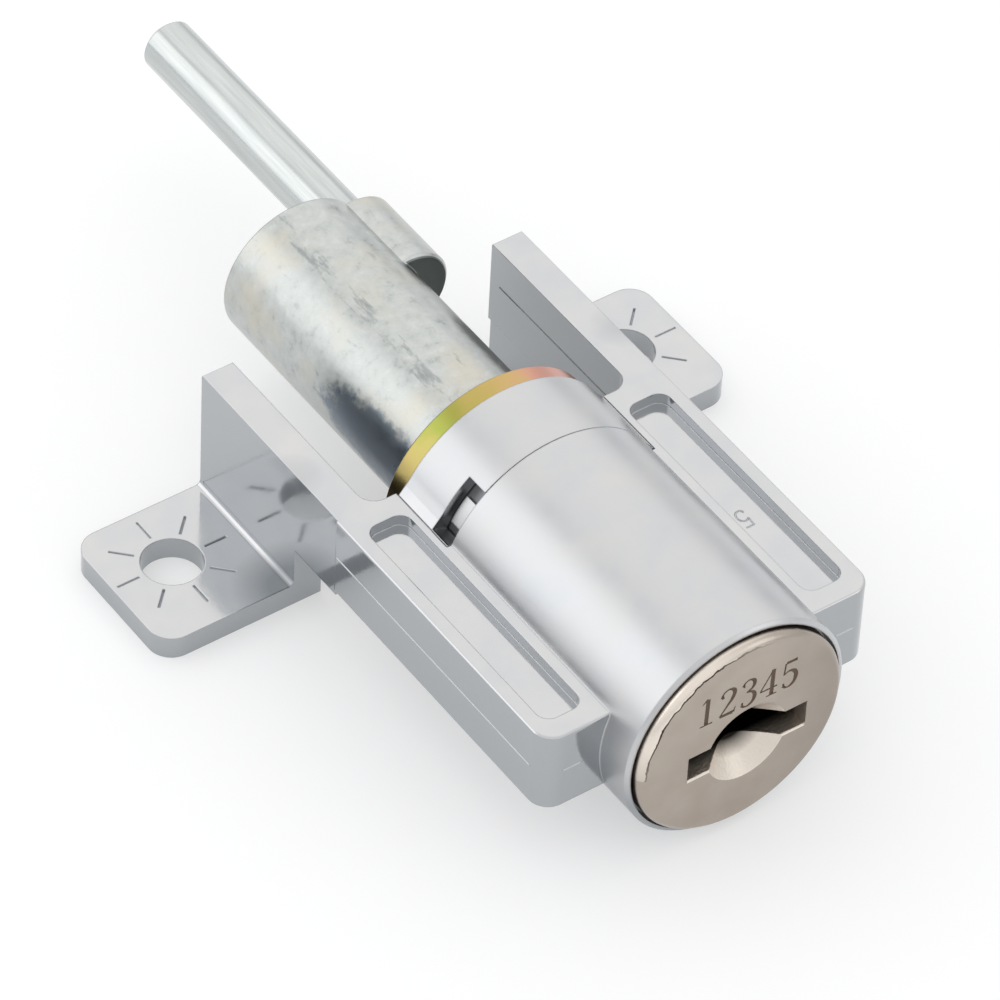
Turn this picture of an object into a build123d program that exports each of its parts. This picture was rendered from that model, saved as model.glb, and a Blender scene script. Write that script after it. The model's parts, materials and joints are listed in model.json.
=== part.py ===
from build123d import *
from math import asin, cos, degrees, isclose, pi, sin
import os

# Central lock of a filing cabinet: a key-operated plug turns an eccentric drive pin,
# and the pin moves the bar that holds the drawers.
# Frame: the plug's axis is the Y axis, the key goes in along +Y, +Z is up, and the
# origin is on the axis at the barrel's front face. Millimetres.

# Barrel of the housing
barrel_dia = 19.6
barrel_len = 23.4
barrel_rim_chamfer = 0.25
barrel_rim_width = 0.43
barrel_wall = 2.3
flange_seat_depth = 1.2

# Rails beside the barrel, with a shallow pocket in each top
rail_front = 3.25
rail_end = 30.0
rail_top = 3.8
rail_bottom = -3.5
rail_corner_radius = 1.7
edge_radius = 0.25
pocket_inner_land = 0.55
pocket_width = 3.6
pocket_outer_land = 1.2
pocket_margin = 1.85
pocket_depth = 1.0
pocket_corner_radius = 1.1

# Upright walls behind the rails, and the screw lugs at their feet
wall_end = 48.2
wall_thickness = 2.7
wall_inset = 0.15
wall_bottom = -4.1
gap_corner_radius = 1.5
lug_front = 35.4
lug_reach = 26.35
lug_thickness = 2.05
lug_corner_radius = 2.0
lug_root_radius = 0.5
foot_relief = 0.25
screw_hole_dia = 4.9
screw_hole_spacing = 42.0
screw_hole_y = 42.4

# Plug: flange, body, journal and flatted tail
running_clearance = 0.05
flange_proud = 0.85
flange_gap = 0.22
flange_edge_bevel = 0.45
flange_edge_break = 0.14
plug_shoulder_gap = 0.1
end_play = 0.05
journal_dia = 11.0
tail_dia = 8.0
tail_flats = 6.0
tail_len = 16.0

# Keyway
keyway_width = 10.7
keyway_height = 2.5
keyway_x = 0.5
keyway_z = -1.1
keyway_depth = 21.0
lead_in_dia = 7.2
lead_in_slope = 45.0
lead_in_depth = 2.3

# Wafer tumblers and their springs
wafer_count = 7
wafer_pitch = 2.2
first_wafer = 5.5
wafer_thickness = 0.8
wafer_height = 5.6
wafer_travel = 0.8
wafer_tip_clearance = 0.05
wafer_side_clearance = 0.05
wafer_window_width = 8.2
wafer_window_height = 2.7
bit_step = 0.25
key_cuts = [1, 3, 2, 0, 2, 3, 1]
ear_width = 1.0
ear_height = 1.0
ear_x = 0.9
groove_clearance = 0.2
spring_dia = 0.95
spring_wire_dia = 0.2
spring_len = 3.9
spring_turns = 5
spring_runs_per_turn = 6
spring_pocket_clearance = 0.08
spring_end_clearance = 0.03

# Rear cap, keyed on the housing's spigot
cap_len = 6.35
cap_wall_len = 1.75
seam_gap = 0.06
spigot_end_gap = 0.1
cap_fit = 0.03
cap_skirt = 1.25
cap_flat_depth = 0.4
cap_foot_angle = 150.0
cradle_clearance = 0.05
key_lug_height = 0.45
key_lug_len = 1.7
key_lug_start = 137.0
key_lug_sweep = 15.0
notch_start = 129.0
notch_sweep = 29.0
notch_len = 2.05

# Stop washer, its stop stud and the arc groove that limits the turn
washer_step = 0.35
washer_thickness = 1.9
drive_fit = 0.05
turn_range = 180.0
stop_radius = 7.3
stop_stud_dia = 1.5
stop_stud_height = 0.8
stop_angle = -60.0
stop_play = 1.0
stop_groove_clearance = 0.1
washer_edge_chamfer = 0.2

# Driver with its eccentric boss, and the drive pin
driver_dia = 12.8
driver_len = 25.85
socket_end_gap = 0.3
boss_dia = 7.3
boss_len = 8.05
boss_x = 5.3
boss_z = 0.85
driver_edge_chamfer = 0.3
pin_dia = 4.5
pin_reach = 26.0
pin_shank_dia = 4.0
pin_shank_len = 6.5
pin_seat_gap = 0.5
pin_fit = 0.01
pin_chamfer = 0.35

# Screw sunk in the driver's end, through the driver into the plug's tail
screw_dia = 2.5
screw_len = 16.0
screw_head_dia = 4.5
screw_head_height = 1.6
screw_slot_width = 0.6
screw_slot_depth = 0.7
screw_clearance = 0.2
screw_sink = 0.2
thread_fit = 0.02
screw_tip_gap = 0.8
lock_washer_dia = 5.1
lock_washer_thickness = 0.6
lock_washer_split = 0.5
recess_clearance = 0.15

# Stations along the axis that follow from the sizes above
base_z = -barrel_dia / 2
bore_dia = barrel_dia - 2 * barrel_wall
flange_seat_dia = barrel_dia - 2 * barrel_rim_width
flange_dia = flange_seat_dia - 2 * flange_gap
spigot_dia = barrel_dia - 2 * cap_skirt
washer_dia = barrel_dia - 2 * washer_step
cap_side_x = barrel_dia / 2 - cap_flat_depth
cradle_x = cap_side_x + cradle_clearance
pocket_inner_x = cradle_x + pocket_inner_land
rail_half_width = pocket_inner_x + pocket_width + pocket_outer_land
seam = barrel_len
cap_end = seam + cap_len
journal_end = cap_end + end_play
washer_end = journal_end + washer_thickness
driver_end = washer_end + driver_len
cap_inner_face = cap_end - cap_wall_len
spigot_end = cap_inner_face - spigot_end_gap
plug_body_end = cap_inner_face - plug_shoulder_gap
tail_end = journal_end + tail_len
screw_seat = driver_end - screw_sink - screw_head_height
recess_floor = screw_seat - lock_washer_thickness
screw_tip = screw_seat - screw_len
last_wafer = first_wafer + (wafer_count - 1) * wafer_pitch
plug_body_dia = bore_dia - 2 * running_clearance
wall_outer_x = rail_half_width - wall_inset
wall_inner_x = wall_outer_x - wall_thickness
slot_width = wafer_thickness + 2 * wafer_side_clearance
slot_height = wafer_height + 2 * wafer_side_clearance
stop_groove_width = stop_stud_dia + 2 * stop_groove_clearance
groove_lead = degrees(asin(stop_stud_dia / 2 / stop_radius)) + stop_play
tolerance = 0.01


def across(y):
    """Plane square to the axis at station y: its own x is X, its own y is Z, it faces -Y."""
    return Plane.XZ.offset(-y)


def sector(radius, start, sweep):
    """Outline of a wedge of a disc, for cuts and lugs that span an angle."""
    rim = CenterArc((0, 0), radius, start, sweep, mode=Mode.PRIVATE)
    return [rim, Line((0, 0), rim @ 0, mode=Mode.PRIVATE), Line(rim @ 1, (0, 0), mode=Mode.PRIVATE)]


os.makedirs("parts", exist_ok=True)

# Housing: barrel, rails, walls and lugs, cast as one piece
rail_len = rail_end - rail_front
wall_len = wall_end - rail_end
lug_len = wall_end - lug_front
lug_top = base_z + lug_thickness
foot_inner_x = wall_inner_x + foot_relief
groove_reach = plug_body_dia / 2 + wafer_travel + groove_clearance
groove_half_height = abs(keyway_z) + slot_height / 2 + wafer_side_clearance

with BuildPart() as housing:
    # Rails and walls in one slab, with rounded outer corners at the front and soft top edges
    with BuildSketch(Plane.XY.offset(rail_bottom)) as slab:
        with Locations((0, rail_front)):
            Rectangle(2 * rail_half_width, rail_len + wall_len, align=(Align.CENTER, Align.MIN))
        fillet(slab.vertices().group_by(Axis.Y)[0], rail_corner_radius)
    extrude(amount=rail_top - rail_bottom)
    fillet(housing.faces().sort_by(Axis.Z)[-1].edges(), edge_radius)
    # The walls stand a little inside the rails' outer faces
    with BuildSketch(Plane.XY.offset(rail_bottom)):
        with Locations((wall_outer_x, rail_end), (-wall_outer_x - wall_inset, rail_end)):
            Rectangle(wall_inset, wall_len, align=(Align.MIN, Align.MIN))
    extrude(amount=rail_top - rail_bottom, mode=Mode.SUBTRACT)
    # Wide gap between the walls, open to the rear, with rounded front corners
    with BuildSketch(Plane.XY.offset(rail_bottom)) as gap:
        with Locations((0, rail_end)):
            Rectangle(2 * wall_inner_x, wall_len, align=(Align.CENTER, Align.MIN))
        fillet(gap.vertices().group_by(Axis.Y)[0], gap_corner_radius)
    extrude(amount=rail_top - rail_bottom, mode=Mode.SUBTRACT)
    # Barrel through the slab
    with BuildSketch(across(0)):
        Circle(barrel_dia / 2)
    extrude(amount=-barrel_len)
    chamfer(housing.faces().sort_by(Axis.Y)[0].edges(), barrel_rim_chamfer)
    # Room between the rails for the cap, and the spigot that carries it
    with BuildSketch(across(seam)):
        Rectangle(2 * cradle_x, 2 * barrel_dia)
    extrude(amount=seam - rail_end, mode=Mode.SUBTRACT)
    with BuildSketch(across(seam)):
        Circle(spigot_dia / 2)
    extrude(amount=seam - spigot_end)
    with BuildSketch(across(seam)):
        make_face(sector(spigot_dia / 2 + key_lug_height, key_lug_start, key_lug_sweep))
    extrude(amount=-key_lug_len)
    # Skirt under each wall, then the foot and the lug: right side first, then its mirror image
    with BuildSketch(Plane.XY.offset(wall_bottom)):
        with Locations((wall_inner_x, rail_end)):
            Rectangle(wall_thickness, wall_len, align=(Align.MIN, Align.MIN))
    skirt = extrude(amount=rail_bottom - wall_bottom)
    with BuildSketch(Plane.XY.offset(base_z)):
        with Locations((foot_inner_x, lug_front)):
            Rectangle(wall_outer_x - foot_inner_x, lug_len, align=(Align.MIN, Align.MIN))
    foot = extrude(amount=wall_bottom - base_z)
    with BuildSketch(Plane.XY.offset(base_z)) as plate:
        with Locations((foot_inner_x, lug_front)):
            Rectangle(lug_reach - foot_inner_x, lug_len, align=(Align.MIN, Align.MIN))
        fillet(plate.vertices().group_by(Axis.X)[-1], lug_corner_radius)
    lug = extrude(amount=lug_thickness)
    mirror(skirt, about=Plane.YZ)
    mirror(foot, about=Plane.YZ)
    mirror(lug, about=Plane.YZ)
    # Root fillet where each lug meets its wall
    lug_roots = [
        edge
        for edge in housing.edges().filter_by(Axis.Y)
        if isclose(abs(edge.center().X), wall_outer_x, abs_tol=tolerance)
        and isclose(edge.center().Z, lug_top, abs_tol=tolerance)
    ]
    fillet(lug_roots, lug_root_radius)
    # Pocket in the top of each rail
    with BuildSketch(Plane.XY.offset(rail_top)):
        with Locations((pocket_inner_x + pocket_width / 2, rail_front + rail_len / 2)):
            RectangleRounded(pocket_width, rail_len - 2 * pocket_margin, pocket_corner_radius)
        mirror(about=Plane.YZ)
    extrude(amount=-pocket_depth, mode=Mode.SUBTRACT)
    # Screw holes
    with BuildSketch(Plane.XY.offset(base_z)):
        with Locations((-screw_hole_spacing / 2, screw_hole_y), (screw_hole_spacing / 2, screw_hole_y)):
            Circle(screw_hole_dia / 2)
    extrude(amount=lug_thickness, mode=Mode.SUBTRACT)
    # Bore for the plug, seat for its flange, and the grooves that catch the wafers
    with BuildSketch(across(0)):
        Circle(bore_dia / 2)
    extrude(amount=-spigot_end, mode=Mode.SUBTRACT)
    with BuildSketch(across(0)):
        Circle(flange_seat_dia / 2)
    extrude(amount=-flange_seat_depth, mode=Mode.SUBTRACT)
    with BuildSketch(across(first_wafer - slot_width)):
        Rectangle(2 * groove_reach, 2 * groove_half_height)
    extrude(amount=-(last_wafer - first_wafer + 2 * slot_width), mode=Mode.SUBTRACT)

housing.part.label = "housing"
export_step(housing.part, "parts/housing.step")

# Plug: flange, body, journal and flatted tail, with the keyway, wafer slots and spring pockets
spring_z = keyway_z + wafer_height / 2 + ear_height / 2
spring_pocket = spring_dia + 2 * spring_pocket_clearance
spring_start = ear_x - ear_width / 2 - spring_len
wafer_stations = [first_wafer + i * wafer_pitch for i in range(wafer_count)]
wafer_sides = [1 if i % 2 == 0 else -1 for i in range(wafer_count)]

with BuildPart() as plug:
    with BuildSketch(across(-flange_proud)):
        Circle(flange_dia / 2)
    extrude(amount=-(flange_proud + flange_seat_depth))
    # Its front edge is rounded off in three short bevels
    chamfer(plug.faces().sort_by(Axis.Y)[0].edges(), flange_edge_bevel)
    front_rings = plug.edges().filter_by(GeomType.CIRCLE).group_by(Axis.Y)[:2]
    chamfer(front_rings[0] + front_rings[1], flange_edge_break)
    with BuildSketch(across(flange_seat_depth)):
        Circle(plug_body_dia / 2)
    extrude(amount=flange_seat_depth - plug_body_end)
    with BuildSketch(across(plug_body_end)):
        Circle(journal_dia / 2)
    extrude(amount=plug_body_end - journal_end)
    with BuildSketch(across(journal_end)):
        Circle(tail_dia / 2)
        Rectangle(tail_dia, tail_flats, mode=Mode.INTERSECT)
    extrude(amount=-tail_len)
    # Keyway and its conical lead-in
    with BuildSketch(across(-flange_proud)):
        with Locations((keyway_x, keyway_z)):
            Rectangle(keyway_width, keyway_height)
    extrude(amount=-keyway_depth, mode=Mode.SUBTRACT)
    with BuildSketch(across(-flange_proud)):
        with Locations((keyway_x, keyway_z)):
            Circle(lead_in_dia / 2)
    extrude(amount=-lead_in_depth, taper=lead_in_slope, mode=Mode.SUBTRACT)
    # One slot across the plug for each wafer, with a pocket beside it for the wafer's spring
    for station, side in zip(wafer_stations, wafer_sides):
        with BuildSketch(across(station - slot_width / 2)):
            with Locations((0, keyway_z)):
                Rectangle(bore_dia, slot_height)
        extrude(amount=-slot_width, mode=Mode.SUBTRACT)
        with BuildSketch(across(station - spring_pocket / 2)):
            with Locations((side * (spring_start + bore_dia / 2), spring_z)):
                Rectangle(bore_dia, spring_pocket)
        extrude(amount=-spring_pocket, mode=Mode.SUBTRACT)
    # Tapped hole in the tail
    with BuildSketch(across(tail_end)):
        Circle(screw_dia / 2 + thread_fit)
    extrude(amount=tail_end - screw_tip + screw_tip_gap, mode=Mode.SUBTRACT)

plug.part.label = "plug"
export_step(plug.part, "parts/plug.step")

# Wafers: stamped brass plates at the shear line, each with an ear for its spring and a window
# that stands off centre by the depth of its key cut
middle_cut = (max(key_cuts) + min(key_cuts)) / 2
for i, (station, side) in enumerate(zip(wafer_stations, wafer_sides)):
    cut = key_cuts[i % len(key_cuts)]
    with BuildPart() as wafer:
        with BuildSketch(across(station - wafer_thickness / 2)):
            Circle(plug_body_dia / 2 - wafer_tip_clearance)
            with Locations((0, keyway_z)):
                Rectangle(bore_dia, wafer_height, mode=Mode.INTERSECT)
            with Locations((side * ear_x, spring_z)):
                Rectangle(ear_width, ear_height)
            with Locations((keyway_x + side * (cut - middle_cut) * bit_step, keyway_z)):
                Rectangle(wafer_window_width, wafer_window_height, mode=Mode.SUBTRACT)
        extrude(amount=-wafer_thickness)
    wafer.part.label = f"wafer_{i + 1}"
    export_step(wafer.part, f"parts/wafer_{i + 1}.step")

# Wafer springs: small coils between the blind end of each pocket and the wafer's ear, each turn
# drawn as a few straight runs of square wire
coil_start = spring_start + spring_wire_dia / 2 + spring_end_clearance
coil_len = spring_len - spring_wire_dia - 2 * spring_end_clearance
coil_radius = (spring_dia - spring_wire_dia) / 2
coil_runs = spring_turns * spring_runs_per_turn
run_angle = 2 * pi / spring_runs_per_turn
for i, (station, side) in enumerate(zip(wafer_stations, wafer_sides)):
    corners = [
        (
            side * (coil_start + coil_len * run / coil_runs),
            station + coil_radius * cos(run * run_angle),
            spring_z + coil_radius * sin(run * run_angle),
        )
        for run in range(coil_runs + 1)
    ]
    with BuildPart() as spring:
        with BuildLine() as coil:
            Polyline(*corners)
        with BuildSketch(Plane(origin=coil.line @ 0, z_dir=coil.line % 0)):
            Rectangle(spring_wire_dia, spring_wire_dia)
        sweep(transition=Transition.RIGHT)
    spring.part.label = f"wafer_spring_{i + 1}"
    export_step(spring.part, f"parts/wafer_spring_{i + 1}.step")

# Rear cap: round like the barrel, flat where it stands between the rails, with a short
# sloping foot on each side that meets the rail top
foot_top = Vector(barrel_dia / 2, 0).rotate(Axis.Z, cap_foot_angle)
with BuildPart() as cap_ring:
    with BuildSketch(across(seam + seam_gap)):
        Circle(barrel_dia / 2)
        Rectangle(2 * cap_side_x, 2 * barrel_dia, mode=Mode.INTERSECT)
        with BuildLine():
            Polyline((0, 0), foot_top, (-cap_side_x, rail_top), (-cap_side_x, 0), close=True)
        foot_web = make_face()
        mirror(foot_web, about=Plane.YZ)
    extrude(amount=seam + seam_gap - cap_end)
    with BuildSketch(across(seam)):
        Circle(spigot_dia / 2 + cap_fit)
    extrude(amount=seam - cap_inner_face, mode=Mode.SUBTRACT)
    with BuildSketch(across(seam)):
        Circle(journal_dia / 2 + running_clearance)
    extrude(amount=seam - cap_end, mode=Mode.SUBTRACT)
    # Notch over the housing's key lug
    with BuildSketch(across(seam)):
        make_face(sector(barrel_dia, notch_start, notch_sweep))
    extrude(amount=-notch_len, mode=Mode.SUBTRACT)
    # Arc groove that lets the washer's stud through the range of the turn, and stops it at both ends
    with BuildSketch(across(cap_end)):
        make_face(sector(stop_radius + stop_groove_width / 2, stop_angle - groove_lead, turn_range + 2 * groove_lead))
        Circle(stop_radius - stop_groove_width / 2, mode=Mode.SUBTRACT)
    extrude(amount=stop_stud_height + stop_groove_clearance, mode=Mode.SUBTRACT)

cap_ring.part.label = "cap_ring"
export_step(cap_ring.part, "parts/cap_ring.step")

# Stop washer: rides on the flatted tail, its stud runs in the cap's groove
with BuildPart() as stop_washer:
    with BuildSketch(across(journal_end)):
        Circle(washer_dia / 2)
    extrude(amount=-washer_thickness)
    chamfer(stop_washer.edges().filter_by(GeomType.CIRCLE), washer_edge_chamfer)
    with BuildSketch(across(journal_end)):
        Circle(tail_dia / 2 + drive_fit)
        Rectangle(tail_dia + 2 * drive_fit, tail_flats + 2 * drive_fit, mode=Mode.INTERSECT)
    extrude(amount=-washer_thickness, mode=Mode.SUBTRACT)
    with BuildSketch(across(journal_end)):
        with PolarLocations(stop_radius, 1, start_angle=stop_angle):
            Circle(stop_stud_dia / 2)
    extrude(amount=stop_stud_height)

stop_washer.part.label = "stop_washer"
export_step(stop_washer.part, "parts/stop_washer.step")

# Driver: cast cylinder with an eccentric boss at its rear end
with BuildPart() as driver:
    with BuildSketch(across(driver_end - boss_len)):
        with Locations((boss_x, boss_z)):
            Circle(boss_dia / 2)
    extrude(amount=-boss_len)
    chamfer(driver.edges().filter_by(GeomType.CIRCLE), driver_edge_chamfer)
    with BuildSketch(across(washer_end)):
        Circle(driver_dia / 2)
    extrude(amount=-driver_len)
    # Flatted socket for the plug's tail, with the screw's hole behind it
    with BuildSketch(across(washer_end)):
        Circle(tail_dia / 2 + drive_fit)
        Rectangle(tail_dia + 2 * drive_fit, tail_flats + 2 * drive_fit, mode=Mode.INTERSECT)
    extrude(amount=washer_end - tail_end - socket_end_gap, mode=Mode.SUBTRACT)
    with BuildSketch(across(washer_end)):
        Circle(screw_dia / 2 + screw_clearance)
    extrude(amount=-driver_len, mode=Mode.SUBTRACT)
    # Recess for the screw's head, and the pin's hole in the boss
    with BuildSketch(across(driver_end)):
        Circle(lock_washer_dia / 2 + recess_clearance)
    extrude(amount=driver_end - recess_floor, mode=Mode.SUBTRACT)
    with BuildSketch(across(driver_end)):
        with Locations((boss_x, boss_z)):
            Circle(pin_shank_dia / 2 + pin_fit)
    extrude(amount=pin_shank_len + pin_seat_gap, mode=Mode.SUBTRACT)

driver.part.label = "driver"
export_step(driver.part, "parts/driver.step")

# Drive pin: turned steel with a chamfered end, its thinner shank pressed into the boss
with BuildPart() as drive_pin:
    with BuildSketch(across(driver_end)):
        with Locations((boss_x, boss_z)):
            Circle(pin_dia / 2)
    extrude(amount=-pin_reach)
    chamfer(drive_pin.faces().sort_by(Axis.Y)[-1].edges(), pin_chamfer)
    with BuildSketch(across(driver_end)):
        with Locations((boss_x, boss_z)):
            Circle(pin_shank_dia / 2)
    extrude(amount=pin_shank_len)

drive_pin.part.label = "drive_pin"
export_step(drive_pin.part, "parts/drive_pin.step")

# Screw and split lock washer that hold the driver on the plug's tail
with BuildPart() as driver_screw:
    with BuildSketch(across(screw_seat)):
        Circle(screw_head_dia / 2)
    extrude(amount=-screw_head_height)
    with BuildSketch(across(screw_seat + screw_head_height)):
        Rectangle(2 * screw_head_dia, screw_slot_width)
    extrude(amount=screw_slot_depth, mode=Mode.SUBTRACT)
    with BuildSketch(across(screw_seat)):
        Circle(screw_dia / 2)
    extrude(amount=screw_len)

driver_screw.part.label = "driver_screw"
export_step(driver_screw.part, "parts/driver_screw.step")

with BuildPart() as lock_washer:
    with BuildSketch(across(recess_floor)):
        Circle(lock_washer_dia / 2)
        Circle(screw_dia / 2 + thread_fit, mode=Mode.SUBTRACT)
        with Locations((0, -lock_washer_dia / 2)):
            Rectangle(lock_washer_split, lock_washer_dia, mode=Mode.SUBTRACT)
    extrude(amount=-lock_washer_thickness)

lock_washer.part.label = "lock_washer"
export_step(lock_washer.part, "parts/lock_washer.step")
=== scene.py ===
import json
import math

import bpy
from mathutils import Matrix, Vector

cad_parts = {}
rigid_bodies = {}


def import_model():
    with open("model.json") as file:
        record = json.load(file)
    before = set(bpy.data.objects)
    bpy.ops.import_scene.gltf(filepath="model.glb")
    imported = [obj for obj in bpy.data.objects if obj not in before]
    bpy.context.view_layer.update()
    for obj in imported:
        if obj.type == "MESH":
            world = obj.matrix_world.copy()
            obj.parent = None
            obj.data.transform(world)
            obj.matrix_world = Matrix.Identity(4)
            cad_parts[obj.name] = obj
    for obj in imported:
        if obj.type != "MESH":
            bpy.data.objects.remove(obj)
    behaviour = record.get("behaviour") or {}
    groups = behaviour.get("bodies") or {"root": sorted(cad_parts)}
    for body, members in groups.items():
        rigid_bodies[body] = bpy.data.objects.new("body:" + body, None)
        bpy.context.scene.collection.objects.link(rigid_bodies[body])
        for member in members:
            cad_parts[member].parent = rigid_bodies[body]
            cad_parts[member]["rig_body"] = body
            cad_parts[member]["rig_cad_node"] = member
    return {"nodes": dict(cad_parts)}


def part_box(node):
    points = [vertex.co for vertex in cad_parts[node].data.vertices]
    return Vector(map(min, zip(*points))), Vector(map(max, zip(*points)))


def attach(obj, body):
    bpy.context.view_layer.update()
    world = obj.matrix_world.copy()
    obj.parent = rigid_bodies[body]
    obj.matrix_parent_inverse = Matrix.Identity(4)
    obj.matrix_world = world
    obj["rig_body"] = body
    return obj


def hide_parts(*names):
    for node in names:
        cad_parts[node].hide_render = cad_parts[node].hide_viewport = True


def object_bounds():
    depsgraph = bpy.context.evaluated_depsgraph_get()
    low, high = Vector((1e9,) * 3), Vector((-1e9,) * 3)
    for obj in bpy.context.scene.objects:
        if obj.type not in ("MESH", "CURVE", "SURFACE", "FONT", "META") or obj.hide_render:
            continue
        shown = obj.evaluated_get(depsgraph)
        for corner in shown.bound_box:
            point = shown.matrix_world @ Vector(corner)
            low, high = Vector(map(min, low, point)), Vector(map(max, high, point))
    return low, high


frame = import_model()
cad_box = [list(corner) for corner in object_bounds()]

# Studio
# A plain pale floor under the lugs, three soft boxes, and a camera where the photograph was
# taken from. None of it belongs to the lock.
mm = 0.001


def linear(hex_colour):
    """An sRGB hex colour as the linear RGBA that Blender works in."""
    parts = [int(hex_colour[i:i + 2], 16) / 255 for i in (1, 3, 5)]
    return [c / 12.92 if c <= 0.04045 else ((c + 0.055) / 1.055) ** 2.4 for c in parts] + [1.0]


def add_node(tree, kind, settings=None, links=None):
    """Adds one node, sets its properties and inputs, and links other nodes' outputs into it."""
    made = tree.nodes.new(kind)
    for name, value in (settings or {}).items():
        if name == "stops":
            elements = made.color_ramp.elements
            while len(elements) < len(value):
                elements.new(1.0)
            for element, (position, hex_colour) in zip(elements, value):
                element.position, element.color = position, linear(hex_colour)
        elif isinstance(name, int) or name in made.inputs:
            made.inputs[name].default_value = value
        else:
            setattr(made, name, value)
    for name, source in (links or {}).items():
        tree.links.new(source, made.inputs[name])
    return made


def deselect_all():
    bpy.ops.object.select_all(action="DESELECT")


floor_half_width = 3.0
deselect_all()
bpy.ops.mesh.primitive_plane_add(size=2 * floor_half_width, location=(0, 0, cad_box[0][2]))
floor = bpy.context.object
floor.name = "floor"

# White paper, partly lit and partly glowing, the same to the camera as in the metal that mirrors
# it, so that it stays white and still keeps the lock's shadow
glow_share = 0.42
paper = bpy.data.materials.new("white_paper_floor")
paper.use_nodes = True
tree = paper.node_tree
tree.nodes.remove(tree.nodes["Principled BSDF"])
rays = add_node(tree, "ShaderNodeLightPath")
mirrored = add_node(tree, "ShaderNodeMath", {"operation": "MAXIMUM"},
                    {0: rays.outputs["Is Glossy Ray"], 1: rays.outputs["Is Transmission Ray"]})
seen = add_node(tree, "ShaderNodeMath", {"operation": "MAXIMUM"},
                {0: rays.outputs["Is Camera Ray"], 1: mirrored.outputs[0]})
share = add_node(tree, "ShaderNodeMath", {"operation": "MULTIPLY", 1: glow_share}, {0: seen.outputs[0]})
matte = add_node(tree, "ShaderNodeBsdfDiffuse", {"Color": linear("#F8F9FA")})
glow = add_node(tree, "ShaderNodeEmission", {"Color": linear("#FFFFFF"), "Strength": 1.0})
mixed = add_node(tree, "ShaderNodeMixShader", None,
                 {0: share.outputs[0], 1: matte.outputs[0], 2: glow.outputs[0]})
tree.links.new(mixed.outputs[0], tree.nodes["Material Output"].inputs["Surface"])
paper.cycles.emission_sampling = "NONE"
floor.data.materials.append(paper)

# A pale tent: white overhead, a little greyer towards the horizon
tent = bpy.data.worlds.new("pale_tent")
bpy.context.scene.world = tent
tent.use_nodes = True
tree = tent.node_tree
direction = add_node(tree, "ShaderNodeTexCoord")
height = add_node(tree, "ShaderNodeSeparateXYZ", None, {0: direction.outputs["Generated"]})
cloth = add_node(tree, "ShaderNodeValToRGB", {"stops": [(0.0, "#DCDDDF"), (0.35, "#FFFFFF")]},
                 {0: height.outputs["Z"]})
tree.links.new(cloth.outputs[0], tree.nodes["Background"].inputs["Color"])

lamp_aim = Vector((0, 25, 0)) * mm
lamp_distance = 0.6


def soft_box(name, direction, size, brightness, hex_colour):
    """A square lamp that faces the lock; its power follows from how bright its face looks."""
    lamp = bpy.data.lights.new(name, "AREA")
    lamp.size = size
    lamp.energy = brightness * math.pi * size ** 2
    lamp.color = linear(hex_colour)[:3]
    holder = bpy.data.objects.new(name, lamp)
    bpy.context.scene.collection.objects.link(holder)
    away = Vector(direction).normalized()
    holder.location = lamp_aim + away * lamp_distance
    holder.rotation_mode = "QUATERNION"
    holder.rotation_quaternion = away.to_track_quat("Z", "Y")


soft_box("back_left_soft_box", (-0.68, 0.57, 0.44), 0.48, 0.7, "#FFFFFF")
soft_box("front_right_soft_box", (0.6, -0.65, 0.45), 0.25, 0.6, "#FFFFFF")
soft_box("overhead_soft_box", (0.4, 0.56, 0.7), 0.7, 0.27, "#FFFAF4")

# The camera stands to the front left and above, turned a little about its own axis
view_azimuth = math.radians(-37.3)
view_elevation = math.radians(45.35)
view_roll = math.radians(3.19)
view_distance = 543 * mm
view_target = Vector((-6.61, 21.03, 9.18)) * mm
camera_data = bpy.data.cameras.new("photo_camera")
camera_data.lens = 268.03
camera_data.sensor_width = 36.0
camera_data.clip_start = 0.01
camera_data.clip_end = 20.0
camera = bpy.data.objects.new("photo_camera", camera_data)
bpy.context.scene.collection.objects.link(camera)
outward = Vector((math.sin(view_azimuth) * math.cos(view_elevation),
                  -math.cos(view_azimuth) * math.cos(view_elevation),
                  math.sin(view_elevation)))
camera.location = view_target + outward * view_distance
camera.rotation_mode = "QUATERNION"
level = outward.to_track_quat("Z", "Y")
camera.rotation_quaternion = level @ Matrix.Rotation(view_roll, 3, "Z").to_quaternion()
bpy.context.scene.camera = camera
bpy.context.scene.view_settings.view_transform = "Standard"

# Housing
# Barrel, rails, walls and screw lugs, die cast in one piece from zinc alloy and plated bright.
# The flat faces are nearly mirrors and the barrel is satin; marks are punched into the lugs.


def dressed_copy(node, name):
    """A copy of a CAD node's mesh, its loose triangles joined, ready to be cut and smoothed."""
    copy = frame["nodes"][node].copy()
    copy.data = copy.data.copy()
    copy.name = name
    copy.parent = None
    copy.matrix_world = Matrix.Identity(4)
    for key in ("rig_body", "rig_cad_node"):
        del copy[key]
    bpy.context.scene.collection.objects.link(copy)
    deselect_all()
    copy.select_set(True)
    bpy.context.view_layer.objects.active = copy
    bpy.ops.object.mode_set(mode="EDIT")
    bpy.ops.mesh.select_all(action="SELECT")
    bpy.ops.mesh.remove_doubles(threshold=0.001 * mm)
    bpy.ops.mesh.customdata_custom_splitnormals_clear()
    bpy.ops.object.mode_set(mode="OBJECT")
    return copy


def apply_modifier(piece, kind, settings):
    modifier = piece.modifiers.new("shaping", kind)
    for name, value in settings.items():
        setattr(modifier, name, value)
    deselect_all()
    piece.select_set(True)
    bpy.context.view_layer.objects.active = piece
    bpy.ops.object.modifier_apply(modifier="shaping")


sharp_edge_angle = math.radians(30)


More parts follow.
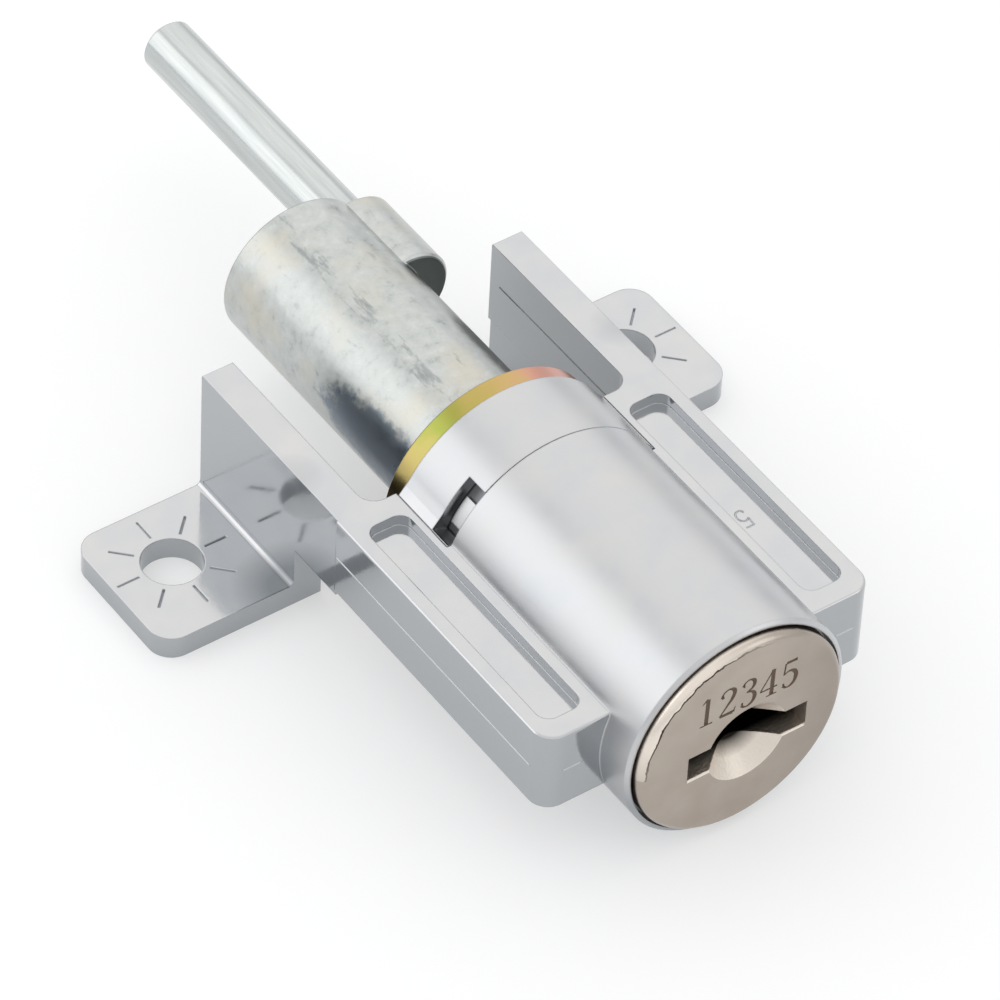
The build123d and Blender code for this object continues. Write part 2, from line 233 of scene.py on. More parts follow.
def smooth(piece):
    """Smooth shading over all but the sharp edges, with the large flat faces kept flat."""
    deselect_all()
    piece.select_set(True)
    bpy.context.view_layer.objects.active = piece
    bpy.ops.object.shade_smooth_by_angle(angle=sharp_edge_angle)
    apply_modifier(piece, "WEIGHTED_NORMAL", {"keep_sharp": True})


def finish_piece(piece, material, body, node):
    """Gives a dressed copy its one material and its place in the lock."""
    smooth(piece)
    piece.data.materials.clear()
    piece.data.materials.append(material)
    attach(piece, body)
    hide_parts(node)


def start_metal(name, hex_colour, roughness):
    """A new metal: the material, its node tree, its shader and the object's own coordinates.

    The colour and roughness given are the metal's usual ones, until a pattern is linked over them.
    """
    metal = bpy.data.materials.new(name)
    metal.use_nodes = True
    tree = metal.node_tree
    surface = tree.nodes["Principled BSDF"]
    surface.inputs["Base Color"].default_value = linear(hex_colour)
    surface.inputs["Metallic"].default_value = 1.0
    surface.inputs["Roughness"].default_value = roughness
    place = add_node(tree, "ShaderNodeTexCoord").outputs["Object"]
    return metal, tree, surface, place


def per_mm(size):
    """Texture scale at which one cell of the pattern is size millimetres across."""
    return 1 / (size * mm)


# Bright zinc plate over a casting: fine orange-peel grain, clouds of duller and brighter
# plate, and a soft satin on the barrel where it was tumbled
plated_zinc, tree, surface, place = start_metal("bright_plated_cast_zinc", "#C6C7C8", 0.2)
barrel_limit = 9.9 * mm
grain = add_node(tree, "ShaderNodeTexNoise", {"Scale": per_mm(0.3), "Detail": 3.0, "Roughness": 0.6},
                 {"Vector": place})
clouds = add_node(tree, "ShaderNodeTexNoise", {"Scale": per_mm(4), "Detail": 4.0}, {"Vector": place})
across = add_node(tree, "ShaderNodeVectorMath", {"operation": "MULTIPLY", 1: (1, 0, 1)}, {0: place})
radius = add_node(tree, "ShaderNodeVectorMath", {"operation": "LENGTH"}, {0: across.outputs[0]})
on_barrel = add_node(tree, "ShaderNodeMath", {"operation": "LESS_THAN", 1: barrel_limit},
                     {0: radius.outputs["Value"]})
satin = add_node(tree, "ShaderNodeMapRange", {"To Min": 0.1, "To Max": 0.32},
                 {"Value": on_barrel.outputs[0]})
duller = add_node(tree, "ShaderNodeMapRange",
                  {"From Min": 0.35, "From Max": 0.65, "To Min": -0.03, "To Max": 0.05},
                  {"Value": clouds.outputs[0]})
rough = add_node(tree, "ShaderNodeMath", {"operation": "ADD"},
                 {0: satin.outputs[0], 1: duller.outputs[0]})
tree.links.new(rough.outputs[0], surface.inputs["Roughness"])
tones = add_node(tree, "ShaderNodeValToRGB", {"stops": [(0.3, "#BEC0C3"), (0.7, "#C7C7C7")]},
                 {0: clouds.outputs[0]})
apart = add_node(tree, "ShaderNodeSeparateXYZ", None, {0: place})

# Painted shade: low on the barrel the colour is painted darker and greyer
low_shade_top, low_shade_bottom = 1 * mm, -3 * mm
low_down = add_node(tree, "ShaderNodeMapRange",
                    {"From Min": low_shade_top, "From Max": low_shade_bottom, "To Max": 0.55},
                    {"Value": apart.outputs["Z"]})
low_shade_share = add_node(tree, "ShaderNodeMath", {"operation": "MULTIPLY"},
                      {0: low_down.outputs[0], 1: on_barrel.outputs[0]})
painted_low_shade = add_node(tree, "ShaderNodeMix", {"data_type": "RGBA", 7: linear("#83898E")},
                      {0: low_shade_share.outputs[0], 6: tones.outputs[0]})

# Painted shade in the corner where each lug meets its rail
corner_place = (15 * mm, 35.6 * mm, 7.5 * mm)
corner_reach, corner_core = 4.5 * mm, 1.5 * mm
either_side = add_node(tree, "ShaderNodeVectorMath", {"operation": "ABSOLUTE"}, {0: place})
from_corner = add_node(tree, "ShaderNodeVectorMath", {"operation": "DISTANCE", 1: corner_place},
                       {0: either_side.outputs[0]})
corner_shade_share = add_node(tree, "ShaderNodeMapRange",
                        {"From Min": corner_reach, "From Max": corner_core, "To Max": 0.6},
                        {"Value": from_corner.outputs["Value"]})
painted_corner_shade = add_node(tree, "ShaderNodeMix", {"data_type": "RGBA", 7: linear("#5E666B")},
                       {0: corner_shade_share.outputs[0], 6: painted_low_shade.outputs[2]})

# Painted shade: upright faces off the barrel are painted a shade greyer than those that face up or down
upright_tolerance = 0.5
face_normal = add_node(tree, "ShaderNodeTexCoord").outputs["Normal"]
facing = add_node(tree, "ShaderNodeSeparateXYZ", None, {0: face_normal})
upright_face = add_node(tree, "ShaderNodeMath",
                        {"operation": "COMPARE", 1: 0.0, 2: upright_tolerance},
                        {0: facing.outputs["Z"]})
off_barrel = add_node(tree, "ShaderNodeMath", {"operation": "SUBTRACT", 0: 1.0},
                      {1: on_barrel.outputs[0]})
upright_shade_share = add_node(tree, "ShaderNodeMath", {"operation": "MULTIPLY"},
                      {0: upright_face.outputs[0], 1: off_barrel.outputs[0]})
painted_upright_shade = add_node(tree, "ShaderNodeMix", {"data_type": "RGBA", 7: linear("#ADB0B3")},
                 {0: upright_shade_share.outputs[0], 6: painted_corner_shade.outputs[2]})

# Painted shade: the bore behind the nose is painted dark
bore_limit, nose_depth = 8.7 * mm, 1.2 * mm
bore = add_node(tree, "ShaderNodeMath", {"operation": "LESS_THAN", 1: bore_limit},
                {0: radius.outputs["Value"]})
behind_nose = add_node(tree, "ShaderNodeMath", {"operation": "GREATER_THAN", 1: nose_depth},
                       {0: apart.outputs["Y"]})
bore_shade_share = add_node(tree, "ShaderNodeMath", {"operation": "MULTIPLY"},
                      {0: bore.outputs[0], 1: behind_nose.outputs[0]})
painted_bore_shade = add_node(tree, "ShaderNodeMix", {"data_type": "RGBA", 7: linear("#77797B")},
                  {0: bore_shade_share.outputs[0], 6: painted_upright_shade.outputs[2]})
tree.links.new(painted_bore_shade.outputs[2], surface.inputs["Base Color"])
rounded = add_node(tree, "ShaderNodeBevel", {"samples": 6, "Radius": 0.15 * mm})
relief = add_node(tree, "ShaderNodeBump", {"Strength": 0.22, "Distance": 0.01 * mm},
                  {"Height": grain.outputs[0], "Normal": rounded.outputs[0]})
tree.links.new(relief.outputs[0], surface.inputs["Normal"])

housing = dressed_copy("housing", "housing_casting")


def edge_bar(centre, length, width, height, turn):
    """A diamond-section bar: half of it cuts a V groove, or stands out as a sharp ridge."""
    deselect_all()
    bpy.ops.mesh.primitive_cylinder_add(vertices=4, radius=1, depth=1)
    bar = bpy.context.object
    bar.data.transform(Matrix.Rotation(math.pi / 2, 4, "Y"))
    bar.data.transform(Matrix.Diagonal((length, width / 2, height, 1)))
    bar.data.transform(Matrix.Translation(centre) @ turn)
    return bar


def join(pieces):
    deselect_all()
    for piece in pieces:
        piece.select_set(True)
    bpy.context.view_layer.objects.active = pieces[0]
    bpy.ops.object.join()
    return pieces[0]


def combine(piece, tool, operation):
    """Cuts closed meshes out of a piece, or adds them to it, and removes the tool."""
    apply_modifier(piece, "BOOLEAN", {"operation": operation, "solver": "EXACT", "object": tool,
                                      "use_self": True})
    bpy.data.objects.remove(tool, do_unlink=True)


# Eight marks punched around each screw hole
hole_x, hole_y, lug_top = 21 * mm, 42.4 * mm, -7.75 * mm
mark_start, mark_end = 2.95 * mm, 4.9 * mm
mark_width, mark_depth = 0.2 * mm, 0.2 * mm
mark_count = 8
marks = []
for side in (-1, 1):
    for step in range(mark_count):
        turn = Matrix.Rotation(2 * math.pi * step / mark_count, 4, "Z")
        out = turn @ Vector(((mark_start + mark_end) / 2, 0, 0))
        centre = Vector((side * hole_x, hole_y, lug_top)) + out
        marks.append(edge_bar(centre, mark_end - mark_start, mark_width, mark_depth, turn))
combine(housing, join(marks), "DIFFERENCE")

# The line where the two halves of the die met, left as a hair of metal on the outer faces
parting_z = 0.1 * mm
rail_side, rail_middle, rail_length = 14.8 * mm, 17.4 * mm, 24.8 * mm
rail_end, rail_front, rail_end_length = 12.3 * mm, 3.25 * mm, 1.6 * mm
wall_inside, wall_middle, wall_length = 11.95 * mm, 40 * mm, 14 * mm
parting_width, parting_height = 0.14 * mm, 0.07 * mm
along = Matrix.Rotation(math.pi / 2, 4, "Z") @ Matrix.Rotation(math.pi / 2, 4, "X")
sideways = Matrix.Rotation(math.pi / 2, 4, "X")
ridges = []
for side in (-1, 1):
    for x, y, length, turn in ((rail_side, rail_middle, rail_length, along),
                               (rail_end, rail_front, rail_end_length, sideways),
                               (wall_inside, wall_middle, wall_length, along)):
        ridges.append(edge_bar(Vector((side * x, y, parting_z)), length,
                               parting_width, parting_height, turn))
combine(housing, join(ridges), "UNION")

# Digits are cut with round-nosed strokes: each is a list of points across and up, with half the
# stroke's width there, for a digit of height 1
digit_strokes = {
    "1": [[(0.32, 0.04, 0.075), (0.32, 0.95, 0.075)], [(0.14, 0.82, 0.02), (0.31, 0.96, 0.05)],
          [(0.13, 0.03, 0.03), (0.51, 0.03, 0.03)]],
    "2": [[(0.10, 0.74, 0.05), (0.17, 0.90, 0.035), (0.32, 0.96, 0.035), (0.49, 0.85, 0.075),
           (0.47, 0.63, 0.075), (0.30, 0.37, 0.045), (0.09, 0.08, 0.03)],
          [(0.10, 0.07, 0.06), (0.50, 0.07, 0.07)], [(0.52, 0.06, 0.04), (0.57, 0.25, 0.015)],
          [(0.11, 0.73, 0.06), (0.18, 0.75, 0.06)]],
    "3": [[(0.12, 0.80, 0.05), (0.19, 0.92, 0.035), (0.33, 0.96, 0.035), (0.47, 0.85, 0.07),
           (0.44, 0.65, 0.06), (0.25, 0.54, 0.025)],
          [(0.25, 0.54, 0.025), (0.44, 0.48, 0.05), (0.52, 0.28, 0.08), (0.42, 0.08, 0.06),
           (0.24, 0.03, 0.035), (0.10, 0.14, 0.045)],
          [(0.13, 0.78, 0.055), (0.18, 0.80, 0.055)], [(0.11, 0.17, 0.055), (0.17, 0.18, 0.055)]],
    "4": [[(0.42, 0.95, 0.03), (0.06, 0.30, 0.03)], [(0.05, 0.28, 0.035), (0.58, 0.28, 0.035)],
          [(0.42, 0.04, 0.075), (0.42, 0.94, 0.075)], [(0.26, 0.03, 0.03), (0.58, 0.03, 0.03)]],
    "5": [[(0.17, 0.92, 0.06), (0.51, 0.92, 0.06)], [(0.16, 0.93, 0.03), (0.13, 0.53, 0.03)],
          [(0.13, 0.52, 0.025), (0.28, 0.60, 0.04), (0.46, 0.52, 0.07), (0.52, 0.30, 0.08),
           (0.42, 0.08, 0.06), (0.25, 0.03, 0.035), (0.11, 0.14, 0.045)],
          [(0.11, 0.16, 0.055), (0.17, 0.17, 0.055)]],
}
digit_middle_x, digit_middle_y = 0.32, 0.5
stroke_flattening = 4


def stamp(text, height, pitch, depth, hairline=None):
    """Digits as closed strokes, centred on the XY plane and reaching depth to either side."""
    strokes = bpy.data.curves.new("stamp", "CURVE")
    strokes.dimensions = "3D"
    strokes.bevel_depth = 1.0
    strokes.bevel_resolution = 1
    strokes.resolution_u = 6
    strokes.use_fill_caps = True
    for place_in_text, digit in enumerate(text):
        shift = (place_in_text - (len(text) - 1) / 2) * pitch
        for points in digit_strokes[digit]:
            spline = strokes.splines.new("BEZIER")
            spline.bezier_points.add(len(points) - 1)
            for bezier, (x, y, half_width) in zip(spline.bezier_points, points):
                bezier.co = ((x - digit_middle_x) * height + shift, (y - digit_middle_y) * height, 0)
                bezier.radius = hairline or half_width * height
                bezier.handle_left_type = bezier.handle_right_type = "AUTO"
    cutter = bpy.data.objects.new("stamp", strokes)
    bpy.context.scene.collection.objects.link(cutter)
    deselect_all()
    cutter.select_set(True)
    bpy.context.view_layer.objects.active = cutter
    bpy.ops.object.convert(target="MESH")
    for vertex in cutter.data.vertices:
        vertex.co.z = max(-depth, min(depth, stroke_flattening * vertex.co.z))
    bpy.ops.object.mode_set(mode="EDIT")
    bpy.ops.mesh.select_all(action="SELECT")
    bpy.ops.mesh.remove_doubles(threshold=0.0001 * mm)
    bpy.ops.mesh.normals_make_consistent(inside=False)
    bpy.ops.object.mode_set(mode="OBJECT")
    return cutter


# The mould's own digit, cut thin in the floor of the right rail's pocket and read from behind
mould_digit_height, mould_digit_depth, hairline_radius = 1.95 * mm, 0.08 * mm, 0.07 * mm
mould_digit = stamp("5", mould_digit_height, 0, mould_digit_depth, hairline=hairline_radius)
pocket_place = Vector((11.3, 14.6, 2.8)) * mm
mould_digit.data.transform(Matrix.Translation(pocket_place) @ Matrix.Rotation(math.pi, 4, "Z"))
combine(housing, mould_digit, "DIFFERENCE")
finish_piece(housing, plated_zinc, "housing", "housing")

# Rear cap
# A round cap of the same plated zinc, pressed on the barrel's spigot behind a fine seam. Its
# notch takes the barrel's key lug.
cap = dressed_copy("cap_ring", "rear_cap")
finish_piece(cap, plated_zinc, "housing", "cap_ring")

# Plug
# The turning cylinder, zinc with a warm nickel plate. The key goes in through a rough-cast
# conical lead-in, and a five-digit number is punched above it.
face_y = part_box("plug")[0][1]
number_centre = Vector((0.25, 0, 4.25)) * mm
number_height = 2.9 * mm
number_pitch = 1.86 * mm
number_depth = 0.1 * mm
number_tilt = math.radians(-1.5)
keyway_lower_edge = Vector((0.5, 0, -2.35)) * mm
keyway_length, keyway_chamfer = 10.7 * mm, 0.16 * mm
plug = dressed_copy("plug", "lock_plug")
lower_edge = edge_bar(keyway_lower_edge + Vector((0, face_y, 0)), keyway_length,
                      2 * keyway_chamfer, keyway_chamfer, Matrix.Identity(4))
number = stamp("12345", number_height, number_pitch, number_depth)
upright = Matrix.Rotation(math.pi / 2, 4, "X") @ Matrix.Rotation(number_tilt, 4, "Z")
number.data.transform(Matrix.Translation(number_centre + Vector((0, face_y, 0))) @ upright)
combine(plug, join([number, lower_edge]), "DIFFERENCE")

# Nickel plate: warm and satin on the face; the punched number has gone dull and brown, the
# lead-in shows the casting's grain under a painted highlight, and past it the slot is painted black as
# painted shade
nickel, tree, surface, place = start_metal("warm_nickel_plate", "#B8ADA3", 0.3)
apart = add_node(tree, "ShaderNodeSeparateXYZ", None, {0: place})
sunk_depth, lead_in_limit, number_bottom = 0.03 * mm, 7.6 * mm, 2.55 * mm
below_face = add_node(tree, "ShaderNodeMath", {"operation": "GREATER_THAN", 1: face_y + sunk_depth},
                      {0: apart.outputs["Y"]})
across = add_node(tree, "ShaderNodeVectorMath", {"operation": "MULTIPLY", 1: (1, 0, 1)}, {0: place})
radius = add_node(tree, "ShaderNodeVectorMath", {"operation": "LENGTH"}, {0: across.outputs[0]})
inside_rim = add_node(tree, "ShaderNodeMath", {"operation": "LESS_THAN", 1: lead_in_limit},
                      {0: radius.outputs["Value"]})
sunk = add_node(tree, "ShaderNodeMath", {"operation": "MULTIPLY"},
                {0: below_face.outputs[0], 1: inside_rim.outputs[0]})
above_key = add_node(tree, "ShaderNodeMath", {"operation": "GREATER_THAN", 1: number_bottom},
                     {0: apart.outputs["Z"]})
in_number = add_node(tree, "ShaderNodeMath", {"operation": "MULTIPLY"},
                     {0: sunk.outputs[0], 1: above_key.outputs[0]})
# Painted shade: the slot is painted black from this depth in
keyway_shade_start, keyway_shade_full = 0.3 * mm, 1.3 * mm
depth_in = add_node(tree, "ShaderNodeMapRange", {"From Min": keyway_shade_start, "From Max": keyway_shade_full},
                    {"Value": apart.outputs["Y"]})
clouds = add_node(tree, "ShaderNodeTexNoise", {"Scale": per_mm(3), "Detail": 4.0}, {"Vector": place})
face_tones = add_node(tree, "ShaderNodeValToRGB", {"stops": [(0.3, "#ABA095"), (0.7, "#B4AAA0")]},
                      {0: clouds.outputs[0]})

# The face is painted darker to the right: a painted reflection
right_reflection_start, right_reflection_full = 2 * mm, 8 * mm
right_reflection_share = add_node(tree, "ShaderNodeMapRange",
                   {"From Min": right_reflection_start, "From Max": right_reflection_full, "To Max": 0.45},
                   {"Value": apart.outputs["X"]})
painted_right_reflection = add_node(tree, "ShaderNodeMix", {"data_type": "RGBA", 7: linear("#8A837A")},
                       {0: right_reflection_share.outputs[0], 6: face_tones.outputs[0]})
numbered = add_node(tree, "ShaderNodeMix", {"data_type": "RGBA", 7: linear("#66574A")},
                    {0: in_number.outputs[0], 6: painted_right_reflection.outputs[2]})
# Painted highlight: the sunk lead-in, short of the number, is painted lighter than the face
lead_in_highlight_share = add_node(tree, "ShaderNodeMath", {"operation": "SUBTRACT"},
                      {0: sunk.outputs[0], 1: in_number.outputs[0]})
painted_lead_in_highlight = add_node(tree, "ShaderNodeMix", {"data_type": "RGBA", 7: linear("#DDD4C9")},
                   {0: lead_in_highlight_share.outputs[0], 6: numbered.outputs[2]})

# A painted highlight at the upper left: the rim is painted bright, with a fine dark line inside
# it, and both waver. The angle wraps round at the left, so the painted band stops there.
rim_mark_middle = math.radians(135)
rim_mark_end, rim_mark_full = math.radians(62), math.radians(25)
dark_line_radius, dark_line_half_width, bright_rim_start = 8.9 * mm, 0.06 * mm, 8.96 * mm
waver_length, waver_reach = 0.9, 0.5 * mm
around = add_node(tree, "ShaderNodeMath", {"operation": "ARCTAN2"},
                  {0: apart.outputs["Z"], 1: apart.outputs["X"]})
turned = add_node(tree, "ShaderNodeMath", {"operation": "SUBTRACT", 1: rim_mark_middle},
                  {0: around.outputs[0]})
from_upper_left = add_node(tree, "ShaderNodeMath", {"operation": "ABSOLUTE"}, {0: turned.outputs[0]})
rim_mark_arc = add_node(tree, "ShaderNodeMapRange", {"From Min": rim_mark_end, "From Max": rim_mark_full},
                    {"Value": from_upper_left.outputs[0]})
waver = add_node(tree, "ShaderNodeTexNoise", {"Scale": per_mm(waver_length), "Detail": 4.0},
                 {"Vector": place})
wavering = add_node(tree, "ShaderNodeMath", {"operation": "MULTIPLY_ADD", 1: waver_reach},
                    {0: waver.outputs[0], 2: radius.outputs["Value"]})
dark_line_ring = add_node(tree, "ShaderNodeMath",
                     {"operation": "COMPARE", 1: dark_line_radius, 2: dark_line_half_width},
                     {0: wavering.outputs[0]})
bright_rim = add_node(tree, "ShaderNodeMath", {"operation": "GREATER_THAN", 1: bright_rim_start},
                      {0: wavering.outputs[0]})
rim_share = add_node(tree, "ShaderNodeMath", {"operation": "MULTIPLY"},
                     {0: rim_mark_arc.outputs[0], 1: bright_rim.outputs[0]})
painted_rim_highlight = add_node(tree, "ShaderNodeMix", {"data_type": "RGBA", 7: linear("#E6DCD1")},
                  {0: rim_share.outputs[0], 6: painted_lead_in_highlight.outputs[2]})
dark_line_share = add_node(tree, "ShaderNodeMath", {"operation": "MULTIPLY"},
                      {0: rim_mark_arc.outputs[0], 1: dark_line_ring.outputs[0]})
rim_dark_line = add_node(tree, "ShaderNodeMix", {"data_type": "RGBA", 7: linear("#4A3F36")},
                {0: dark_line_share.outputs[0], 6: painted_rim_highlight.outputs[2]})
painted_keyway_shade = add_node(tree, "ShaderNodeMix", {"data_type": "RGBA", 7: linear("#1E1A17")},
                     {0: depth_in.outputs[0], 6: rim_dark_line.outputs[2]})
tree.links.new(painted_keyway_shade.outputs[2], surface.inputs["Base Color"])
rough = add_node(tree, "ShaderNodeMapRange", {"To Min": 0.27, "To Max": 0.4}, {"Value": sunk.outputs[0]})
tree.links.new(rough.outputs[0], surface.inputs["Roughness"])
grain = add_node(tree, "ShaderNodeTexNoise", {"Scale": per_mm(0.22), "Detail": 3.0}, {"Vector": place})
grit = add_node(tree, "ShaderNodeMapRange", {"To Min": 0.1, "To Max": 1.0}, {"Value": sunk.outputs[0]})
rounded = add_node(tree, "ShaderNodeBevel", {"samples": 6, "Radius": 0.12 * mm})
relief = add_node(tree, "ShaderNodeBump", {"Distance": 0.05 * mm},
                  {"Strength": grit.outputs[0], "Height": grain.outputs[0],
                   "Normal": rounded.outputs[0]})
tree.links.new(relief.outputs[0], surface.inputs["Normal"])
finish_piece(plug, nickel, "plug", "plug")

# Stop washer
# A steel disc, zinc plated and passivated yellow. The film is thinner and thicker around the
# rim, so its colour drifts from brown through gold and green to pink.
passivated, tree, surface, place = start_metal("yellow_passivated_zinc", "#B9A45A", 0.28)
apart = add_node(tree, "ShaderNodeSeparateXYZ", None, {0: place})
around = add_node(tree, "ShaderNodeMath", {"operation": "ARCTAN2"},
                  {0: apart.outputs["Z"], 1: apart.outputs["X"]})
drift = add_node(tree, "ShaderNodeTexNoise", {"Scale": per_mm(2), "Detail": 3.0}, {"Vector": place})
wander = add_node(tree, "ShaderNodeMapRange", {"To Min": -0.2, "To Max": 0.2},
                  {"Value": drift.outputs[0]})
angle = add_node(tree, "ShaderNodeMath", {"operation": "ADD"},
                 {0: around.outputs[0], 1: wander.outputs[0]})
turn_share = add_node(tree, "ShaderNodeMapRange", {"From Min": -math.pi, "From Max": math.pi},
                      {"Value": angle.outputs[0]})
film = add_node(tree, "ShaderNodeValToRGB", {"stops": [
    (0.0, "#5C4E36"), (0.3, "#A08757"), (0.6, "#C49A80"), (0.645, "#CF9A8D"), (0.692, "#CC9684"),
    (0.728, "#C0A36E"), (0.778, "#B5A160"), (0.82, "#A3A14F"), (0.845, "#9BA34F"), (0.875, "#B1A763"),
    (0.914, "#B9A76B"), (0.947, "#6C5C3C")]}, {0: turn_share.outputs[0]})
tree.links.new(film.outputs[0], surface.inputs["Base Color"])
rounded = add_node(tree, "ShaderNodeBevel", {"samples": 6, "Radius": 0.1 * mm})
tree.links.new(rounded.outputs[0], surface.inputs["Normal"])
washer = dressed_copy("stop_washer", "stop_disc")
finish_piece(washer, passivated, "plug", "stop_washer")

# Driver
# A zinc casting left raw: mottled grey with tan stains, streaked along its length by the die,
# and with a dark patch on the flank beside the washer, partly oxide and partly a painted reflection.
raw_zinc, tree, surface, place = start_metal("raw_cast_zinc", "#9A9D98", 0.4)
stretched = add_node(tree, "ShaderNodeMapping", {"Scale": (1, 0.22, 1)}, {"Vector": place})
streaks = add_node(tree, "ShaderNodeTexNoise", {"Scale": per_mm(0.7), "Detail": 6.0, "Roughness": 0.7},
                   {"Vector": stretched.outputs[0]})
mottle = add_node(tree, "ShaderNodeTexNoise", {"Scale": per_mm(1.1), "Detail": 6.0, "Roughness": 0.65},
                  {"Vector": place})
stains = add_node(tree, "ShaderNodeTexNoise", {"Scale": per_mm(5.5), "Detail": 4.0}, {"Vector": place})
grey = add_node(tree, "ShaderNodeValToRGB", {"stops": [
    (0.3, "#A3A8A7"), (0.42, "#B7BBB9"), (0.6, "#C2C5C3"), (0.75, "#D0D3D1")]}, {0: mottle.outputs[0]})
tan_share = add_node(tree, "ShaderNodeMapRange", {"From Min": 0.5, "From Max": 0.66, "To Max": 0.5},
                     {"Value": stains.outputs[0]})
tinted = add_node(tree, "ShaderNodeMix", {"data_type": "RGBA", 7: linear("#C8C1B0")},
                  {0: tan_share.outputs[0], 6: grey.outputs[0]})
scratch_share = add_node(tree, "ShaderNodeMapRange",
                         {"From Min": 0.38, "From Max": 0.28, "To Max": 0.6},
                         {"Value": streaks.outputs[0]})
scratched = add_node(tree, "ShaderNodeMix", {"data_type": "RGBA", 7: linear("#83898B")},
                     {0: scratch_share.outputs[0], 6: tinted.outputs[2]})

# Painted reflection: the +X flank is painted darker in front of the boss, mirroring the wall
flank_start, flank_full, boss_front_y = 3.4 * mm, 4.8 * mm, 49.5 * mm
flank = add_node(tree, "ShaderNodeSeparateXYZ", None, {0: place})
beside = add_node(tree, "ShaderNodeMapRange",
                  {"From Min": flank_start, "From Max": flank_full, "To Max": 0.75},
                  {"Value": flank.outputs["X"]})
before_boss = add_node(tree, "ShaderNodeMath", {"operation": "LESS_THAN", 1: boss_front_y},
                       {0: flank.outputs["Y"]})
flank_reflection_share = add_node(tree, "ShaderNodeMath", {"operation": "MULTIPLY"},
                       {0: beside.outputs[0], 1: before_boss.outputs[0]})
painted_flank_reflection = add_node(tree, "ShaderNodeMix", {"data_type": "RGBA", 7: linear("#6E726F")},
                   {0: flank_reflection_share.outputs[0], 6: scratched.outputs[2]})

# Dark scuffs run along a narrow strip of the top
scuff_middle, scuff_half_arc = math.radians(107), math.radians(6)
around = add_node(tree, "ShaderNodeMath", {"operation": "ARCTAN2"},
                  {0: flank.outputs["Z"], 1: flank.outputs["X"]})
scuff_arc = add_node(tree, "ShaderNodeMath",
                     {"operation": "COMPARE", 1: scuff_middle, 2: scuff_half_arc},
                     {0: around.outputs[0]})
scuffs = add_node(tree, "ShaderNodeMapRange", {"From Min": 0.5, "From Max": 0.4, "To Max": 0.55},
                  {"Value": streaks.outputs[0]})
scuff_share = add_node(tree, "ShaderNodeMath", {"operation": "MULTIPLY"},
                       {0: scuff_arc.outputs[0], 1: scuffs.outputs[0]})
scuffed = add_node(tree, "ShaderNodeMix", {"data_type": "RGBA", 7: linear("#7F8587")},
                   {0: scuff_share.outputs[0], 6: painted_flank_reflection.outputs[2]})

# The dark patch, partly oxide and partly a painted reflection of the wall; the mottle makes its
# edge ragged
patch_centre, patch_size = (-6.4 * mm, 36.5 * mm, 0.7 * mm), (3 * mm, 8 * mm, 3.2 * mm)
from_patch = add_node(tree, "ShaderNodeMapping",
                      {"vector_type": "TEXTURE", "Location": patch_centre, "Scale": patch_size},
                      {"Vector": place})
patch_reach = add_node(tree, "ShaderNodeVectorMath", {"operation": "LENGTH"}, {0: from_patch.outputs[0]})
ragged = add_node(tree, "ShaderNodeMath", {"operation": "ADD"},
                  {0: patch_reach.outputs["Value"], 1: mottle.outputs[0]})
patch_share = add_node(tree, "ShaderNodeMapRange", {"From Min": 1.55, "From Max": 1.3, "To Max": 0.9},
                       {"Value": ragged.outputs[0]})
oxide_and_reflection_patch = add_node(tree, "ShaderNodeMix", {"data_type": "RGBA", 7: linear("#7B8590")},
                   {0: patch_share.outputs[0], 6: scuffed.outputs[2]})

# Painted shade: the front face of the boss, outside the driver's own round, is painted darker
boss_front_tolerance, driver_radius = 0.12 * mm, 6.5 * mm
at_boss_front = add_node(tree, "ShaderNodeMath",
                         {"operation": "COMPARE", 1: boss_front_y, 2: boss_front_tolerance},
                         {0: flank.outputs["Y"]})
across = add_node(tree, "ShaderNodeVectorMath", {"operation": "MULTIPLY", 1: (1, 0, 1)}, {0: place})
radius = add_node(tree, "ShaderNodeVectorMath", {"operation": "LENGTH"}, {0: across.outputs[0]})
off_driver = add_node(tree, "ShaderNodeMath", {"operation": "GREATER_THAN", 1: driver_radius},
                      {0: radius.outputs["Value"]})
boss_front = add_node(tree, "ShaderNodeMath", {"operation": "MULTIPLY"},
                      {0: at_boss_front.outputs[0], 1: off_driver.outputs[0]})
shaded_boss = add_node(tree, "ShaderNodeMix", {"data_type": "RGBA", 7: linear("#747A77")},
                       {0: boss_front.outputs[0], 6: oxide_and_reflection_patch.outputs[2]})
tree.links.new(shaded_boss.outputs[2], surface.inputs["Base Color"])
rough = add_node(tree, "ShaderNodeMapRange",
                 {"From Min": 0.3, "From Max": 0.7, "To Min": 0.26, "To Max": 0.42},
                 {"Value": mottle.outputs[0]})
tree.links.new(rough.outputs[0], surface.inputs["Roughness"])
rounded = add_node(tree, "ShaderNodeBevel", {"samples": 6, "Radius": 0.15 * mm})
relief = add_node(tree, "ShaderNodeBump", {"Strength": 0.35, "Distance": 0.03 * mm},
                  {"Height": streaks.outputs[0], "Normal": rounded.outputs[0]})
tree.links.new(relief.outputs[0], surface.inputs["Normal"])
driver = dressed_copy("driver", "driver_casting")
finish_piece(driver, raw_zinc, "plug", "driver")

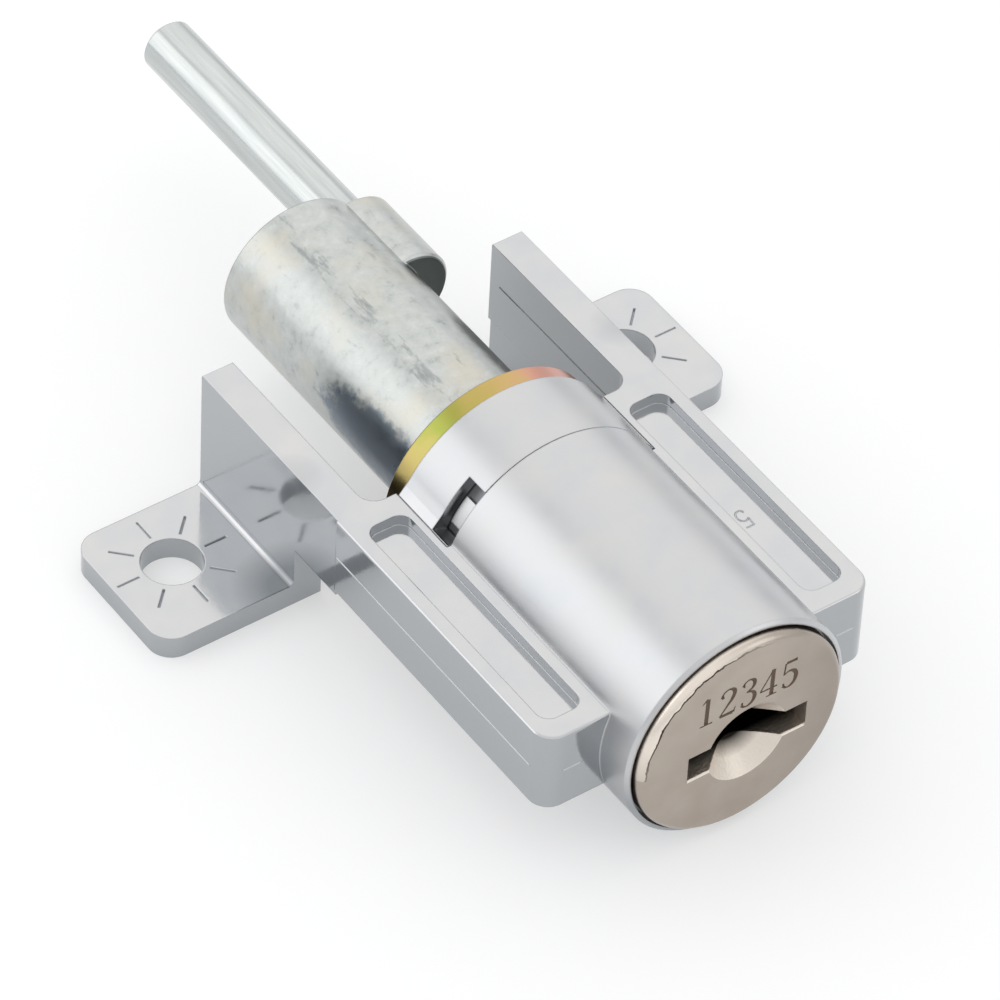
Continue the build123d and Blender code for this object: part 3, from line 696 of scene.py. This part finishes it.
# Drive pin
# A ground steel rod pressed into the driver's boss, with fine lines along it from drawing.
bright_steel, tree, surface, place = start_metal("ground_bright_steel", "#D2D5D5", 0.22)
stretched = add_node(tree, "ShaderNodeMapping", {"Scale": (1, 0.05, 1)}, {"Vector": place})
lines = add_node(tree, "ShaderNodeTexNoise", {"Scale": per_mm(0.3), "Detail": 3.0},
                 {"Vector": stretched.outputs[0]})
tones = add_node(tree, "ShaderNodeValToRGB", {"stops": [(0.3, "#B9BEBD"), (0.7, "#C8CCCB")]},
                 {0: lines.outputs[0]})
tree.links.new(tones.outputs[0], surface.inputs["Base Color"])
rounded = add_node(tree, "ShaderNodeBevel", {"samples": 6, "Radius": 0.15 * mm})
relief = add_node(tree, "ShaderNodeBump", {"Strength": 0.2, "Distance": 0.01 * mm},
                  {"Height": lines.outputs[0], "Normal": rounded.outputs[0]})
tree.links.new(relief.outputs[0], surface.inputs["Normal"])
pin = dressed_copy("drive_pin", "drive_pin_rod")
finish_piece(pin, bright_steel, "plug", "drive_pin")

# Screw and lock washer
# A slotted steel screw and a split spring washer, sunk in the recess of the driver's end.
screw = dressed_copy("driver_screw", "slotted_screw")
finish_piece(screw, bright_steel, "plug", "driver_screw")
split_washer = dressed_copy("lock_washer", "split_washer")
finish_piece(split_washer, bright_steel, "plug", "lock_washer")

# Wafers and their springs
# Stamped brass plates in the plug's slots, each pushed by a small steel coil. Only their edges
# show, through the slot for the key.
brass, tree, surface, place = start_metal("stamped_brass", "#B08F4A", 0.32)
grain = add_node(tree, "ShaderNodeTexNoise", {"Scale": per_mm(0.3), "Detail": 3.0}, {"Vector": place})
relief = add_node(tree, "ShaderNodeBump", {"Strength": 0.2, "Distance": 0.01 * mm},
                  {"Height": grain.outputs[0]})
tree.links.new(relief.outputs[0], surface.inputs["Normal"])
wafer_count = 7
for wafer in range(1, wafer_count + 1):
    for name, metal in ((f"wafer_{wafer}", brass), (f"wafer_spring_{wafer}", bright_steel)):
        node = frame["nodes"][name]
        node.data.materials.clear()
        node.data.materials.append(metal)
